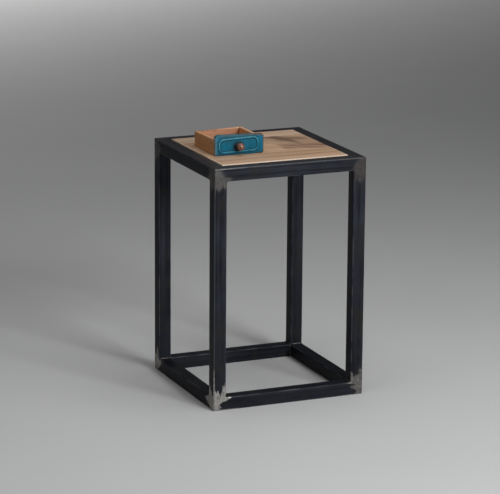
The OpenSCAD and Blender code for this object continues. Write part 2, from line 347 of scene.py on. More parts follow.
def makeWood(name, look):
    # grain runs along look["along"]; the rings are a distance across the board that wanders and leans
    material, tree, place = newMaterial(name)
    x, y, z = tree.split(place)
    along, across, depth = (x, y, z) if look["along"] == "X" else (y, z, x)
    seed = look["seed"]
    grain = tree.join(along, across, depth)
    wander = noise(grain, (5, 16, 16), (seed, 0, seed), detail=2)
    ripple = noise(grain, (14, 60, 60), (0, seed, 0))
    lean = most(along - look["leanFrom"], 0) * look["lean"]
    ringPlace = across + (depth - topZ) * 0.35 + lean
    ringPlace = ringPlace + (wander - 0.5) * look["wander"] + (ripple - 0.5) * look["ripple"]
    ringNoise = noise(tree.join(ringPlace * look["rings"], along * 1.5, seed), detail=4, roughness=0.6)
    fibres = noise(grain, (24, 1500, 1500), (seed, 0, 1), detail=4, roughness=0.7)
    pores = noise(grain, (55, 2300, 2300), (2, seed, 4), detail=1)
    cloud = noise(grain, (7, 22, 22), (seed, seed, 0))

    colour = ramp(ringNoise, look["colours"])
    colour = blend(fade(cloud, 0.38, 0.68) * look["cloudy"], colour, look["cloudColour"])
    for (x0, y0), (x1, y1), (wide0, wide1), strength, heart in look.get("streaks", ()):
        # dark heart: a band from one point of the board to another, torn up along the grain
        t = (along - x0) / (x1 - x0)
        off = abs(across - y0 - t * (y1 - y0) + (wander - 0.5) * 30 * mm + (ripple - 0.5) * 10 * mm)
        reach = wide0 + least(most(t, 0), 1) * (wide1 - wide0)
        torn = noise(tree.join(ringPlace * 100, along * 7, seed + x0), detail=4, roughness=0.6)
        ends = fade(t, -0.06, 0.06) * fall(t, 0.9, 1.2)
        band = fall(off / reach, 0.2, 1) * ends * (0.35 + fade(torn, 0.40, 0.58) * 0.85)
        colour = blend(least(band * strength, 1), colour, heart)
    sap = look.get("sap")
    if sap:
        # painted highlight: paler wood along an outer edge, where the eased arris catches the light
        inEdge = boardHigh.x - abs(x)
        if "front" in sap:
            inEdge = least(y + sap["front"], inEdge)
        paler = fall(inEdge, sap["width"] * 0.4, sap["width"]) * (0.55 + ripple * 0.5)
        colour = blend(paler, colour, sap["colour"])
    colour = blend(fade(fibres, 0.48, 0.8) * 0.35, colour, look["fibre"])
    poreMask = fade(pores, 0.66, 0.74)
    colour = blend(poreMask * look["pores"], colour, look["poreColour"])
    dirt = look.get("dirt")
    if dirt:
        stain = noise(place, scale=dirt["scale"], detail=5, roughness=0.65)
        stain = fade(stain, dirt["from"], dirt["to"])
        colour = blend(stain * dirt["strength"], colour, dirt["colour"])
    worn = look.get("wornTop")
    if worn:
        top = fade(z, worn["z"] - 2.2 * mm, worn["z"] - 0.2 * mm)
        colour = blend(top * (0.6 + cloud * 0.5), colour, worn["colour"])
    height = fibres * 0.5 + ringNoise * 0.3 - poreMask * 0.8
    finishMaterial(tree,
        Base_Color=colour,
        Roughness=look["rough"] + fibres * 0.14,
        Normal=bump(height, look["relief"], 0.5))
    return material


boardLook = {
    "along": "X", "seed": 1.3, "leanFrom": 0.01, "lean": 0.0, "wander": 8 * mm, "ripple": 1.5 * mm,
    "rings": 120, "cloudy": 0.35, "cloudColour": (0.42, 0.275, 0.185),
    "colours": [(0.30, (0.31, 0.195, 0.125)), (0.43, (0.40, 0.27, 0.185)), (0.52, (0.50, 0.365, 0.27)),
        (0.62, (0.42, 0.285, 0.195)), (0.74, (0.33, 0.21, 0.138))],
    "fibre": (0.33, 0.21, 0.14), "pores": 0.5, "poreColour": (0.17, 0.10, 0.06),
    "rough": 0.50, "relief": 0.12 * mm,
    # a painted highlight along the eased outer edges
    "sap": {"width": 2.0 * mm, "colour": (0.56, 0.44, 0.34)},
}
heartDark = (0.105, 0.056, 0.036)
heartRed = (0.165, 0.088, 0.060)
heartVeil = (0.27, 0.165, 0.110)
heartFront = (0.235, 0.125, 0.070)


def board(tint, **changes):
    # one of the top's boards: the shared look, its ring colours tinted
    colours = [(at, tuple(c * t for c, t in zip(colour, tint))) for at, colour in boardLook["colours"]]
    return {**boardLook, "colours": colours, **changes}


# a streak runs from one (along, across) to another; then its half-widths there, its strength and its colour
boardLooks = {
    "top_board_front": board(
        (0.96, 0.88, 0.77),
        streaks=[((-0.160, -0.1125), (0.160, -0.1120), (13 * mm, 13 * mm), 0.45, heartFront)],
        sap={"front": -boardLow.y, "width": 4.2 * mm, "colour": (0.53, 0.42, 0.33)}),
    "top_board_middle": board(
        (1.02, 0.95, 0.83), seed=4.1, lean=0.5, wander=14 * mm, ripple=4 * mm,
        cloudColour=(0.30, 0.20, 0.14), cloudy=0.6,
        streaks=[((0.060, 0.040), (0.156, 0.000), (75 * mm, 70 * mm), 0.55, heartVeil),
            ((0.045, 0.095), (0.136, 0.044), (34 * mm, 16 * mm), 0.7, heartDark),
            ((0.066, 0.088), (0.104, 0.014), (55 * mm, 48 * mm), 0.7, heartDark),
            ((0.045, -0.020), (0.156, -0.036), (50 * mm, 46 * mm), 0.9, heartRed)]),
    "top_board_back": board((1.10, 1.12, 1.10), seed=7.7, lean=0.1, cloudColour=(0.46, 0.335, 0.235)),
}
topLook = {"eased": 2.2 * mm, "sawn": 0.35 * mm}  # rounding of the outer upper edges, and of the others

boxLook = {
    "along": "Y", "seed": 2.2, "leanFrom": 0.0, "lean": 0.0, "wander": 6 * mm, "ripple": 1.5 * mm,
    "rings": 300, "cloudy": 0.4, "cloudColour": (0.62, 0.27, 0.098),
    "colours": [(0.28, (0.37, 0.155, 0.060)), (0.46, (0.58, 0.27, 0.107)), (0.62, (0.69, 0.345, 0.142)),
        (0.78, (0.44, 0.195, 0.076))],
    "fibre": (0.19, 0.085, 0.042), "pores": 0.5, "poreColour": (0.07, 0.03, 0.016),
    "rough": 0.6, "relief": 0.2 * mm, "uneven": 0.12 * mm,
    "dirt": {"scale": 55, "from": 0.52, "to": 0.70, "strength": 0.55, "colour": (0.085, 0.045, 0.026)},
}


frontLow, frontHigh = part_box("drawer_front")
knobLow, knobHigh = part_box("drawer_knob")
knobMiddle = (knobLow + knobHigh) / 2
frontLook = {
    "width": frontHigh.x - frontLow.x,
    "height": frontHigh.z - frontLow.z,
    "beadHeight": 1.5 * mm,  # the bead stands out of the face by this much
    "beadWidth": 5.4 * mm,
    "beadX": 56 * mm,  # middle of the bead, from the left end
    "beadLength": 93 * mm,  # of its middle line
    "beadLow": 7.5 * mm,  # its lower and upper runs, above the lower edge
    "beadHigh": 37.5 * mm,
    "beadRadius": 11 * mm,
    "beadTilt": 1.5,  # degrees
    "drop": 3.5 * mm,  # the hand-cut top edge falls this much to the right
    "corners": (4.5 * mm, 4.5 * mm, 4.5 * mm, 9.5 * mm),  # anticlockwise from the lower left
    "round": 2.0 * mm,  # rounding of the front's edges
    "edgeStep": 6 * mm,  # its long edges are uneven at this spacing
    "uneven": 0.22 * mm,  # and by this much
    "seed": 11,
    "teal": (0.001, 0.103, 0.172),
    "tealDeep": (0.001, 0.072, 0.112),
    "tealPale": (0.060, 0.270, 0.350),
    "tealGrey": (0.085, 0.175, 0.195),
    "tealDull": (0.030, 0.070, 0.080),
    "endPale": (0.27, 0.31, 0.30),
    "bareWood": (0.075, 0.032, 0.025),
    "bareWoodPale": (0.16, 0.085, 0.052),
    "grimeAndShade": (0.008, 0.022, 0.028),
}
beadMiddle = Vector((frontLow.x + frontLook["beadX"], frontLow.y + frontLook["beadHeight"],
    frontLow.z + (frontLook["beadHigh"] + frontLook["beadLow"]) / 2))


def makePaint():
    look = frontLook
    material, tree, place = newMaterial("tealPaint")
    x, y, z = tree.split(place)
    brush = noise(place, (60, 60, 700), detail=4)
    cloud = noise(place, scale=48, detail=4)
    chips = noise(place, scale=210, detail=5, roughness=0.7)
    colour = blend(fade(cloud, 0.35, 0.68), look["teal"], look["tealDeep"])
    colour = blend(fade(brush, 0.54, 0.78) * 0.25, colour, look["tealPale"])

    # how far in from the outline a point of the face lies, and how far from the bead's middle line
    across = (x - frontLow.x) / look["width"]
    inEnds = least(x - frontLow.x, frontHigh.x - x)
    inSides = least(z - frontLow.z, frontHigh.z - across * look["drop"] - z)
    inEdge = least(inEnds, inSides)
    beadHalfX = look["beadLength"] / 2 - look["beadRadius"]
    beadHalfZ = (look["beadHigh"] - look["beadLow"]) / 2 - look["beadRadius"]
    tilt = math.radians(look["beadTilt"])
    fromX, fromZ = x - beadMiddle.x, z - beadMiddle.z
    offX = abs(fromX * math.cos(tilt) + fromZ * math.sin(tilt)) - beadHalfX
    offZ = abs(fromZ * math.cos(tilt) - fromX * math.sin(tilt)) - beadHalfZ
    outX, outZ = most(offX, 0), most(offZ, 0)
    outside = root(outX * outX + outZ * outZ) + least(most(offX, offZ), 0)
    fromBead = abs(outside - look["beadRadius"])
    onFace = fall(y, frontLow.y + look["beadHeight"] + 0.5 * mm, frontLow.y + 3 * mm)

    # grime and painted shade in the quirks beside the bead, a painted shadow round the knob, painted shade
    # along the foot; paint rubbed pale and a painted highlight on the crest
    quirk = fall(abs(fromBead - look["beadWidth"] * 0.62), 0.2 * mm, 1.3 * mm) * onFace
    knobX, knobZ = x - knobMiddle.x, z - knobMiddle.z
    fromKnob = root(knobX * knobX + knobZ * knobZ)
    # painted shadow: the knob's shadow darkens the face round it, with some grime
    knobShadowAndGrime = fall(fromKnob, 9 * mm, 17 * mm) * onFace
    # painted shade: darker along the foot of the front, where it stands on the top
    foot = fall(z - frontLow.z, 2 * mm, 9 * mm) * 0.45
    grimeAndShade = most(quirk * (0.55 + chips * 0.5), knobShadowAndGrime * (0.4 + cloud * 0.9), foot)
    colour = blend(least(grimeAndShade, 0.92), colour, look["grimeAndShade"])
    crestWearAndHighlight = fall(fromBead, 0.5 * mm, 1.8 * mm) * fade(chips, 0.34, 0.56) * onFace
    # painted highlight: the crest is paler on the upper run and towards the upper left, where light falls
    crestWearAndHighlight = crestWearAndHighlight * (0.28 + fade(z - x * 0.12, beadMiddle.z + 4 * mm, beadMiddle.z + 14 * mm) * 0.67)
    colour = blend(crestWearAndHighlight, colour, look["tealPale"])

    # dusty and dull along the top edge; paler at the left end and its rounded corner, as worn paint with a
    # painted highlight
    dusty = fall(inSides + (cloud - 0.5) * 5 * mm, 1.5 * mm, 5.5 * mm)
    dusty = dusty * fade(z, beadMiddle.z, beadMiddle.z + 8 * mm)
    colour = blend(dusty * (0.45 + chips * 0.5), colour, look["tealDull"])
    leftEnd = fall(x - frontLow.x + (chips - 0.5) * 5 * mm, 2 * mm, 7 * mm)
    colour = blend(leftEnd * (0.15 + chips * 0.6), colour, look["tealGrey"])
    endFace = fall(x - frontLow.x, 0.3 * mm, 1.6 * mm)

    # paint worn off to dark wood along the edges, more at the right and the top
    rightSide = fade(across, 0.75, 1.0)
    wornWidth = 0.3 * mm + rightSide * 2.4 * mm + fade(cloud, 0.45, 0.7) * 0.9 * mm
    worn = fall(inEdge + (chips - 0.5) * 3 * mm, wornWidth * 0.6, wornWidth)
    worn = worn * (onFace + (1 - onFace) * rightSide)
    spots = fade(chips, 0.70, 0.74) * fade(cloud, 0.5, 0.62)
    # the ends and the top edge are painted too, thin and dusty
    edges = 1 - onFace
    colour = blend(edges * 0.85, colour, blend(chips, look["tealDeep"], look["tealGrey"]))
    # painted light: the left end face is coloured pale, as if lit, though it faces away from the lamps
    colour = blend(endFace * (0.5 + chips * 0.5), colour, look["endPale"])
    bare = least(most(worn, spots * 0.8) + edges * fade(chips, 0.60, 0.72) * 0.5, 1)
    woodTone = blend(fade(brush, 0.4, 0.6), look["bareWood"], look["bareWoodPale"])
    finishMaterial(tree,
        Base_Color=blend(bare, colour, woodTone),
        Roughness=0.36 + cloud * 0.12 + bare * 0.25,
        Normal=bump(brush * 0.4 + chips * 0.3 - bare * 0.8, 0.25 * mm, 0.6),
        Specular_IOR_Level=0.16)
    return material


knobLook = {
    "foot": [(5.4 * mm, 0), (5.5 * mm, 0.5 * mm), (5.3 * mm, 1.1 * mm), (4.6 * mm, 1.6 * mm),
        (4.2 * mm, 2.6 * mm), (4.5 * mm, 3.6 * mm)],  # (radius, distance from the face)
    "neck": 4.9 * mm,  # radius where the ball begins
    "steps": 18,  # rings on the ball
    "spokes": 40,
    "rings": [(0.30, (0.080, 0.027, 0.015)), (0.50, (0.150, 0.057, 0.031)), (0.70, (0.215, 0.095, 0.056))],
    "stain": (0.075, 0.03, 0.02),
}


def makeKnobWood():
    material, tree, place = newMaterial("knobWood")
    rings = noise(place, (420, 60, 420), detail=4, roughness=0.6)
    cloud = noise(place, scale=120)
    colour = ramp(rings, knobLook["rings"])
    colour = blend(fade(cloud, 0.52, 0.68) * 0.5, colour, knobLook["stain"])
    finishMaterial(tree,
        Base_Color=colour,
        Roughness=0.27 + cloud * 0.18,
        Normal=bump(rings, 0.1 * mm, 0.35),
        Coat_Weight=0.4,
        Coat_Roughness=0.18)
    return material


def link(name, data):
    made = bpy.data.objects.new(name.replace("_", "-"), data)
    bpy.context.scene.collection.objects.link(made)
    return made


def meshFrom(work, name):
    mesh = bpy.data.meshes.new(name)
    work.to_mesh(mesh)
    work.free()
    return mesh


def settle(piece):
    # turns what the modifiers make into the piece's own plain mesh
    ready = piece.evaluated_get(bpy.context.evaluated_depsgraph_get())
    mesh = bpy.data.meshes.new_from_object(ready)
    piece.modifiers.clear()
    piece.data = mesh
    mesh.name = piece.name
    return piece


def smooth(mesh, angle):
    mesh.polygons.foreach_set("use_smooth", [True] * len(mesh.polygons))
    mesh.set_sharp_from_angle(angle=math.radians(angle))


def newGeometry(name, inputs):
    # a geometry node tree with a mesh in, a mesh out, named inputs and a material
    group = bpy.data.node_groups.new(name, "GeometryNodeTree")
    group.interface.new_socket(name="Geometry", in_out="INPUT", socket_type="NodeSocketGeometry")
    group.interface.new_socket(name="Geometry", in_out="OUTPUT", socket_type="NodeSocketGeometry")
    inputs = {**inputs, "Material": "Material"}
    for label, value in inputs.items():
        # a number is the input's default, a word is its kind
        kind = value if isinstance(value, str) else "Int" if isinstance(value, int) else "Float"
        socket = group.interface.new_socket(name=label, in_out="INPUT", socket_type="NodeSocket" + kind)
        if kind != value:
            socket.default_value = value
    tree = Tree(group)
    source = tree.node("NodeGroupInput")
    wires = {label: source.out(label) for label in ("Geometry", *inputs)}
    return tree, wires


def endGeometry(tree, geometry, material):
    real = tree.node("GeometryNodeRealizeInstances", inputs={0: geometry})
    painted = tree.node("GeometryNodeSetMaterial", inputs={"Geometry": real, "Material": material})
    tree.node("NodeGroupOutput", inputs={"Geometry": painted})
    return tree.group


def grow(name, group, values, start=None):
    # runs a geometry node tree on a start mesh and keeps the result as a plain mesh
    piece = link(name, start or bpy.data.meshes.new(name))
    modifier = piece.modifiers.new("shape", "NODES")
    modifier.node_group = group
    for label, value in values.items():
        modifier[group.interface.items_tree[label].identifier] = value
    return settle(piece)


def keep(piece, body, slot, *replaced, angle=32, material=None):
    # smooths a finished piece, paints it and hands it over
    smooth(piece.data, angle)
    if material:
        piece.data.materials.append(material)
    if replaced:
        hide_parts(*replaced)
    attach(piece, body)


def swept(tree, given, outline):
    # carries an outline along Z, from -1 to 1, in the given number of rings
    path = tree.node("GeometryNodeCurvePrimitiveLine", inputs={"Start": (0, 0, -1), "End": (0, 0, 1)})
    path = tree.node("GeometryNodeResampleCurve", {"mode": "COUNT"}, {"Curve": path, "Count": given["Rings"]})
    return tree.node("GeometryNodeCurveToMesh", inputs={
        "Curve": path, "Profile Curve": outline, "Fill Caps": True})


def rectangle(tree, width, height, corner, points):
    # the outline of a rectangle with rounded corners
    outline = tree.node("GeometryNodeCurvePrimitiveQuadrilateral", {"mode": "RECTANGLE"},
        {"Width": width, "Height": height})
    return tree.node("GeometryNodeFilletCurve", {"mode": "POLY"},
        {"Curve": outline, "Count": points, "Radius": corner})


def onPoints(tree, given, thing):
    # stands a thing on every point of the start mesh, with the turn that the point holds
    turn = tree.node("GeometryNodeInputNamedAttribute", {"data_type": "FLOAT_VECTOR"}, {"Name": "turn"})
    turn = tree.node("FunctionNodeEulerToRotation", inputs={0: turn})
    return tree.node("GeometryNodeInstanceOnPoints", inputs={
        "Points": given["Geometry"], "Instance": thing, "Rotation": turn})


def tubeTree():
    # a square tube along Z, cut square or mitred, with its arrises rounded. -Y is the outer side of a
    # ring's rail and +X the side that the legs are welded to, where the weld is ground flush.
    tree, given = newGeometry("squareTube", {
        "Length": 1.0, "Width": 0.03, "Radius": 0.003,
        "Rings": 61, "Arc": 6, "Mitre": 0.0,
        "Grain Shift": "Vector"})
    width, radius = given["Width"], given["Radius"]
    halfLength, side = given["Length"] / 2, width / 2
    tube = swept(tree, given, rectangle(tree, width, width, radius, given["Arc"]))
    x, y, z = tree.split(tree.position())
    # rings lie close together near the ends
    fromEnd = 1 - abs(z)
    spread = fromEnd * (0.06 + fromEnd * 0.94)
    reach = (1 - spread) * halfLength
    # the mitre: the outer side keeps its length, and its corner is rounded like a leg's
    inFromOuter = y + side
    cut = most(inFromOuter, radius * (1 - math.sqrt(0.5)))
    reach = reach * (1 - given["Mitre"] * cut / halfLength)
    pastCorner = most(reach - (halfLength - radius), 0)
    rounded = radius - root(most(radius * radius - pastCorner * pastCorner, 0))
    newY = most(inFromOuter, rounded * given["Mitre"]) - side
    # the outer upper arris is filled square where a leg stands on it
    arcX, arcY = x - (side - radius), (radius - side) - y
    onArc = tree.math("GREATER_THAN", least(arcX, arcY), radius * 0.01)
    squareUp = radius / most(most(arcX, arcY), radius * 0.1)
    underLeg = fade(reach, halfLength - width, halfLength - width + radius * 0.8)
    push = (squareUp - 1) * onArc * underLeg * given["Mitre"]
    newX = x + arcX * push
    newY = most(newY - arcY * push, rounded * given["Mitre"] - side)
    placed = tree.join(newX, newY, reach * tree.math("SIGN", z))
    tube = tree.moved(tube, placed)
    shifted = tree.vectorMath("ADD", tree.position(), given["Grain Shift"])
    tube = tree.node("GeometryNodeStoreNamedAttribute", {"data_type": "FLOAT_VECTOR", "domain": "POINT"},
        {"Geometry": tube, "Name": "grain", "Value": shifted})
    return endGeometry(tree, tube, given["Material"])


def turned(*steps):
    # steps are (angle in degrees, axis) or a Vector, applied in order
    placed = Matrix.Identity(4)
    for step in steps:
        if isinstance(step, Vector):
            placed = Matrix.Translation(step) @ placed
        else:
            placed = Matrix.Rotation(math.radians(step[0]), 4, step[1]) @ placed
    return placed


def makeFrame(steel):
    group = tubeTree()
    tubes = []
    middle = half - tubeWidth / 2
    for name, sx, sy in (("leg_front_left", -1, -1), ("leg_front_right", 1, -1),
            ("leg_back_left", -1, 1), ("leg_back_right", 1, 1)):
        low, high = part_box(name)
        placed = turned(Vector((sx * middle, sy * middle, (low.z + high.z) / 2)))
        tubes.append((name, high.z - low.z, 0.0, placed))
    for i, side in enumerate(("front", "right", "back", "left")):
        # a bottom rail lies along X with its outer side to the front, then goes round to its side
        laid = turned((-90, "Y"), Vector((0, -middle, tubeWidth / 2)), (90 * i, "Z"))
        tubes.append(("bottom_rail_" + side, 2 * half, 1.0, laid))
        laid = turned((90, "Y"), Vector((0, -middle, frameHeight - tubeWidth / 2)), (90 * i, "Z"))
        tubes.append(("top_rail_" + side, 2 * half, 1.0, laid))
    for i, (name, length, mitre, placed) in enumerate(tubes):
        piece = grow(name, group, {
            "Length": length, "Width": tubeWidth, "Mitre": mitre,
            "Grain Shift": (0.0, 0.0, 1.7 * i), "Material": steel})
        piece.data.transform(placed)
        keep(piece, "table", "blackened_steel", name)


def weldTree():
    # a rippled bead on every point of the start mesh, along X, in the corner between +Y and +Z
    tree, given = newGeometry("weldBeads", {
        "Leg": 0.004, "Length": 0.024, "Ripples": 10.0,
        "Rings": 60, "Lumps": 0.0005})
    circle = tree.node("GeometryNodeCurvePrimitiveCircle", {"mode": "RADIUS"},
        {"Resolution": 14, "Radius": 1.0})
    bead = swept(tree, given, circle)
    x, y, z = tree.split(tree.position())
    # crescents that lag behind on the crown, and ends that taper off
    crown = x * math.sqrt(0.5) + y * math.sqrt(0.5)
    phase = (z + crown * weldLook["rippleLag"]) * given["Ripples"] * math.pi
    ripple = 1 + abs(tree.math("SINE", phase)) * weldLook["rippleDepth"]
    taper = tree.math("POWER", most(1.02 - z * z, 0), 0.33)
    radius = given["Leg"] * weldLook["fullness"] * ripple * taper
    bead = tree.moved(bead, tree.join(z * given["Length"] / 2, x * radius, y * radius))
    beads = tree.node("GeometryNodeRealizeInstances", inputs={0: onPoints(tree, given, bead)})
    lumps = tree.node("ShaderNodeTexNoise", inputs={
        "Vector": tree.position(), "Scale": 300.0, "Detail": 1.0}, out=1)
    lumps = tree.vectorMath("SUBTRACT", lumps, (0.5, 0.5, 0.5))
    size = tree.join(given["Lumps"] * 2, given["Lumps"] * 2, given["Lumps"] * 2)
    lumps = tree.vectorMath("MULTIPLY", lumps, size)
    beads = tree.node("GeometryNodeSetPosition", inputs={"Geometry": beads, "Offset": lumps})
    return endGeometry(tree, beads, given["Material"])


def startPoints(name, places):
    # a mesh of bare points, each with the turn that its instance gets
    mesh = bpy.data.meshes.new(name)
    mesh.from_pydata([place.to_translation() for place in places], [], [])
    turn = mesh.attributes.new("turn", "FLOAT_VECTOR", "POINT")
    for i, place in enumerate(places):
        turn.data[i].vector = place.to_euler()
    return mesh


def makeWelds(weldMetal):
    group = weldTree()
    legMiddle = half - tubeWidth / 2
    base, top = [], []
    corner = Matrix(((0, 1, 0, 0), (0, 0, 1, 0), (1, 0, 0, 0), (0, 0, 0, 1)))  # X to Z, Y to X, Z to Y
    for i in range(4):
        round4 = (90 * i, "Z")
        behind = Vector((-legMiddle, -inner, tubeWidth))
        beside = Vector((-inner, -legMiddle, tubeWidth))
        base += [turned(behind, round4), turned((-90, "Z"), beside, round4)]
        base.append(turned(Vector((-inner, -inner, tubeWidth / 2)), round4) @ corner)
        behind.z = beside.z = frameHeight - tubeWidth
        top += [turned((180, "Y"), behind, round4), turned((180, "Y"), (90, "Z"), beside, round4)]
    for name, places in (("bottom_welds", base), ("top_welds", top)):
        sizes = {label: weldLook[label.lower()] for label in ("Leg", "Length", "Ripples", "Rings", "Lumps")}
        piece = grow(name, group, {**sizes, "Material": weldMetal}, startPoints(name, places))
        keep(piece, "table", "weld_metal", name, angle=60)


def boxMesh(name, low, high, weights):
    # a box whose edges carry bevel weights; weights() is given an edge's middle, from -1 to 1 each way
    work = bmesh.new()
    bmesh.ops.create_cube(work, size=2)
    layer = work.edges.layers.float.new("bevel_weight_edge")
    for edge in work.edges:
        edge[layer] = weights((edge.verts[0].co + edge.verts[1].co) / 2)
    for vert in work.verts:
        vert.co = Vector(low[i] + (high[i] - low[i]) * (vert.co[i] + 1) / 2 for i in range(3))
    return meshFrom(work, name)


def bevelled(piece, width, segments):
    bevel = piece.modifiers.new("bevel", "BEVEL")
    bevel.limit_method = "WEIGHT"
    bevel.width = width
    bevel.segments = segments
    bevel.use_clamp_overlap = True
    return settle(piece)


def makeTop():
    for name, outerY in (("top_board_front", -1), ("top_board_middle", 0), ("top_board_back", 1)):
        low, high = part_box(name)

        def weights(edge):
            upper = edge.z > 0.5
            outer = abs(edge.x) > 0.5 or (outerY and edge.y * outerY > 0.5)
            return 1.0 if upper and outer else topLook["sawn"] / topLook["eased"]

        piece = bevelled(link(name, boxMesh(name, low, high, weights)), topLook["eased"], 5)
        keep(piece, "table", "oiled_wood", name, material=makeWood(name.replace("_", ""), boardLooks[name]))


def makePlank(name, look, rounding, seed, drop):
    # an old hand-sawn board: its edges are rubbed round and a little uneven, and its top edge falls
    # along the grain by this much
    low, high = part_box(name)
    piece = bevelled(link(name, boxMesh(name, low, high, lambda edge: 1.0)), rounding, 3)
    work = bmesh.new()
    work.from_mesh(piece.data)
    longEdges = [edge for edge in work.edges if edge.calc_length() > 20 * mm]
    bmesh.ops.subdivide_edges(work, edges=longEdges, cuts=9, use_grid_fill=True)
    draw = random.Random(seed)
    waves = [(draw.uniform(60, 160), draw.uniform(0, 6), draw.randrange(3)) for _ in range(5)]
    size = high - low
    run = "XYZ".index(look["along"])
    for vert in work.verts:
        if vert.co.z > (low.z + high.z) / 2:
            t = (vert.co[run] - low[run]) / size[run]
            vert.co.z -= drop * t if drop > 0 else drop * (t - 1)
        for axis in range(3):
            wobble = sum(math.sin(f * vert.co[a] + p + axis) for f, p, a in waves) / len(waves)
            middle = (low[axis] + high[axis]) / 2
            shrink = (1 + wobble) * look["uneven"] / size[axis]
            vert.co[axis] = middle + (vert.co[axis] - middle) * (1 - shrink)
    bmesh.ops.recalc_face_normals(work, faces=work.faces)
    work.to_mesh(piece.data)
    work.free()
    keep(piece, "drawer", "drawer_wood", name, material=makeWood(name.replace("_", ""), look))


def frontOutline():
    # corner points of the front, left to right along the bottom and back along the sloping top
    look = frontLook
    width, height = look["width"], look["height"]
    corners = [(0, 0), (width, 0), (width, height - look["drop"]), (0, height)]
    points = []
    for i, (x, z) in enumerate(corners):
        start = 180 + 90 * i
        radius = look["corners"][i]
        cx = x + radius * (1 if i in (0, 3) else -1)
        cz = z + radius * (1 if i in (0, 1) else -1)
        for step in range(7):
            angle = math.radians(start + 15 * step)
            points.append((cx + radius * math.cos(angle), cz + radius * math.sin(angle)))
    return points


def makeFront(paint):
    look = frontLook
    face = frontLow.y + look["beadHeight"]
    work = bmesh.new()
    draw = random.Random(look["seed"])
    verts = []
    points = frontOutline()
    for i, (x, z) in enumerate(points):
        # long sides get extra points, each a little off the line, as a worn edge is
        nextX, nextZ = points[(i + 1) % len(points)]
        steps = max(1, round(math.hypot(nextX - x, nextZ - z) / look["edgeStep"]))
        for step in range(steps):
            t = step / steps
            off = 0 if step == 0 else draw.uniform(0, look["uneven"])
            px, pz = x + (nextX - x) * t, z + (nextZ - z) * t
            inward = Vector((look["width"] / 2 - px, 0, look["height"] / 2 - pz)).normalized() * off
            verts.append(work.verts.new((frontLow.x + px + inward.x, face, frontLow.z + pz + inward.z)))
    front = work.faces.new(verts)
    made = bmesh.ops.extrude_face_region(work, geom=[front])["geom"]
    moved = [v for v in made if isinstance(v, bmesh.types.BMVert)]
    bmesh.ops.translate(work, verts=moved, vec=(0, frontHigh.y - face, 0))
    bmesh.ops.recalc_face_normals(work, faces=work.faces)
    layer = work.edges.layers.float.new("bevel_weight_edge")
    for edge in work.edges:
        ys = [v.co.y for v in edge.verts]
        if max(ys) - min(ys) < 0.1 * mm:
            edge[layer] = 1.0 if ys[0] < face + 1 * mm else 0.3
    piece = bevelled(link("drawer_front", meshFrom(work, "drawer_front")), look["round"], 4)
    keep(piece, "drawer", "drawer_paint", "drawer_front", material=paint)


def beadTree():
    # a half-round bead along a rectangle with rounded corners, in the XY plane, standing up in +Z
    tree, given = newGeometry("beadRing", {
        "Width": 0.1, "Height": 0.03, "Radius": 0.01,
        "Bead Width": 0.004, "Bead Height": 0.001})
    ring = rectangle(tree, given["Width"], given["Height"], given["Radius"], 12)
    ring = tree.node("GeometryNodeResampleCurve", {"mode": "LENGTH"}, {"Curve": ring, "Length": 1.2 * mm})
    ring = tree.node("GeometryNodeSetCurveNormal", {"mode": "Z_UP"}, {"Curve": ring})
    bar = tree.node("GeometryNodeCurvePrimitiveCircle", {"mode": "RADIUS"},
        {"Resolution": 20, "Radius": given["Bead Width"] / 2})
    bead = tree.node("GeometryNodeCurveToMesh", inputs={"Curve": ring, "Profile Curve": bar})
    # squash the round bar to the bead's height, its lower half sunk in the board
    x, y, z = tree.split(tree.position())
    tall = z * given["Bead Height"] / (given["Bead Width"] / 2)
    worn = tree.node("ShaderNodeTexNoise", inputs={"Scale": 90.0, "Detail": 2.0})
    tall = tall * (0.82 + worn * 0.3)
    bead = tree.moved(bead, tree.join(x, y, least(tall, given["Bead Height"])))
    return endGeometry(tree, bead, given["Material"])


def makeBead(paint):
    look = frontLook
    beadHeight = look["beadHigh"] - look["beadLow"]
    piece = grow("drawer_bead", beadTree(), {
        "Width": look["beadLength"], "Height": beadHeight, "Radius": look["beadRadius"],
        "Bead Width": look["beadWidth"], "Bead Height": look["beadHeight"], "Material": paint})
    piece.data.transform(turned((look["beadTilt"], "Z"), (90, "X"), beadMiddle))
    keep(piece, "drawer", "drawer_paint", angle=50)


def makeKnob(knobWood):
    # a turned knob: a profile spun round the knob's axis
    ball = (knobHigh.z - knobLow.z) / 2
    ballOut = (knobHigh.y - knobLow.y) - ball
    profile = list(knobLook["foot"])
    firstAngle = math.degrees(math.asin(knobLook["neck"] / ball))
    steps, spokes = knobLook["steps"], knobLook["spokes"]
    for step in range(steps):
        angle = math.radians(180 - firstAngle + (firstAngle - 180) * step / steps)
        profile.append((ball * math.sin(angle), ballOut + ball * math.cos(angle)))
    work = bmesh.new()
    rings = []
    for radius, out in profile:
        turns = [math.tau * k / spokes for k in range(spokes)]
        rings.append([work.verts.new((knobMiddle.x + radius * math.cos(turn), knobHigh.y - out,
            knobMiddle.z + radius * math.sin(turn))) for turn in turns])
    for near, far in zip(rings, rings[1:]):
        for k in range(spokes):
            n = (k + 1) % spokes
            work.faces.new((near[k], near[n], far[n], far[k]))
    tip = work.verts.new((knobMiddle.x, knobHigh.y - ballOut - ball, knobMiddle.z))
    for k in range(spokes):
        work.faces.new((rings[-1][k], rings[-1][(k + 1) % spokes], tip))
    work.faces.new(rings[0])
    bmesh.ops.recalc_face_normals(work, faces=work.faces)
    piece = link("drawer_knob", meshFrom(work, "drawer-knob"))
    keep(piece, "drawer", "knob_wood", "drawer_knob", angle=50, material=knobWood)


